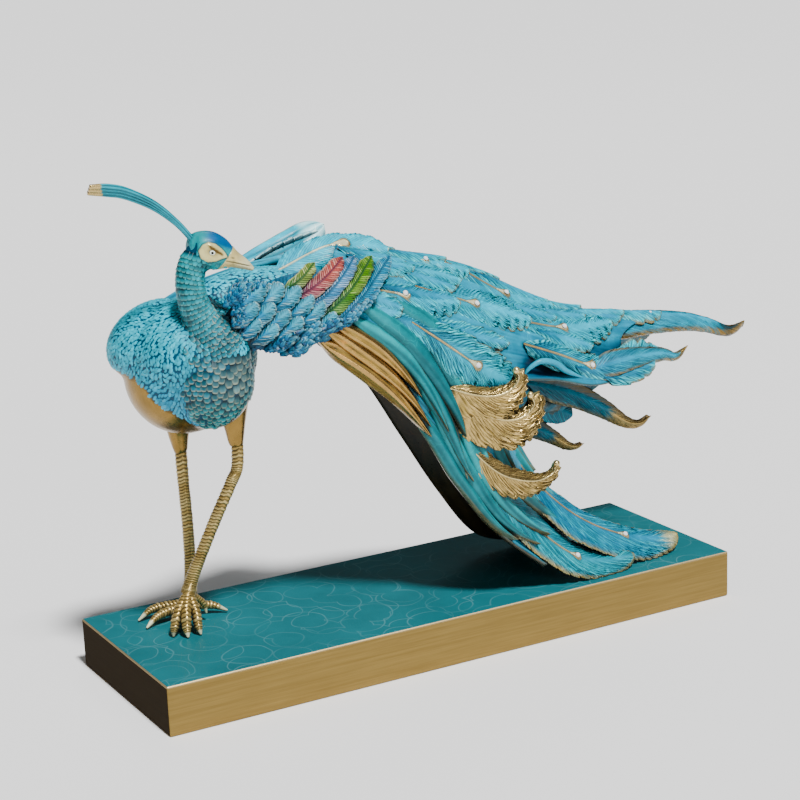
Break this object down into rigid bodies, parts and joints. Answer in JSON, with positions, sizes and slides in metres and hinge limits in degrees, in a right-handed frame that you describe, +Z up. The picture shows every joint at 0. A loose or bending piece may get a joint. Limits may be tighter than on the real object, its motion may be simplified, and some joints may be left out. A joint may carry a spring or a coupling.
{
  "type": "peacock figurine",
  "caption": "Cast and painted peacock that stands on thin legs and looks back over a long train sweeping down to a rectangular plinth.",
  "frame": {"origin": "centre of the plinth's underside", "axes": "+X along the plinth towards the train's tips, +Y away from the front, +Z up"},
  "size_m": [0.5477, 0.16, 0.3748],
  "materials": {
    "plinth_paint": "satin brass-coloured paint on the sides, teal lacquer on top",
    "peacock_paint": "satin turquoise and blue paint with antique gold edges",
    "white_stone": "polished white"
  },
  "bodies": {
    "root": {"plinth": "plinth_paint", "peacock": "peacock_paint", "eye_stone_1": "white_stone", "eye_stone_2": "white_stone", "eye_stone_3": "white_stone", "eye_stone_4": "white_stone", "eye_stone_5": "white_stone", "eye_stone_6": "white_stone", "eye_stone_7": "white_stone", "eye_stone_8": "white_stone", "eye_stone_9": "white_stone", "eye_stone_10": "white_stone", "eye_stone_11": "white_stone", "eye_stone_12": "white_stone", "eye_stone_13": "white_stone", "eye_stone_14": "white_stone"}
  },
  "joints": []
}
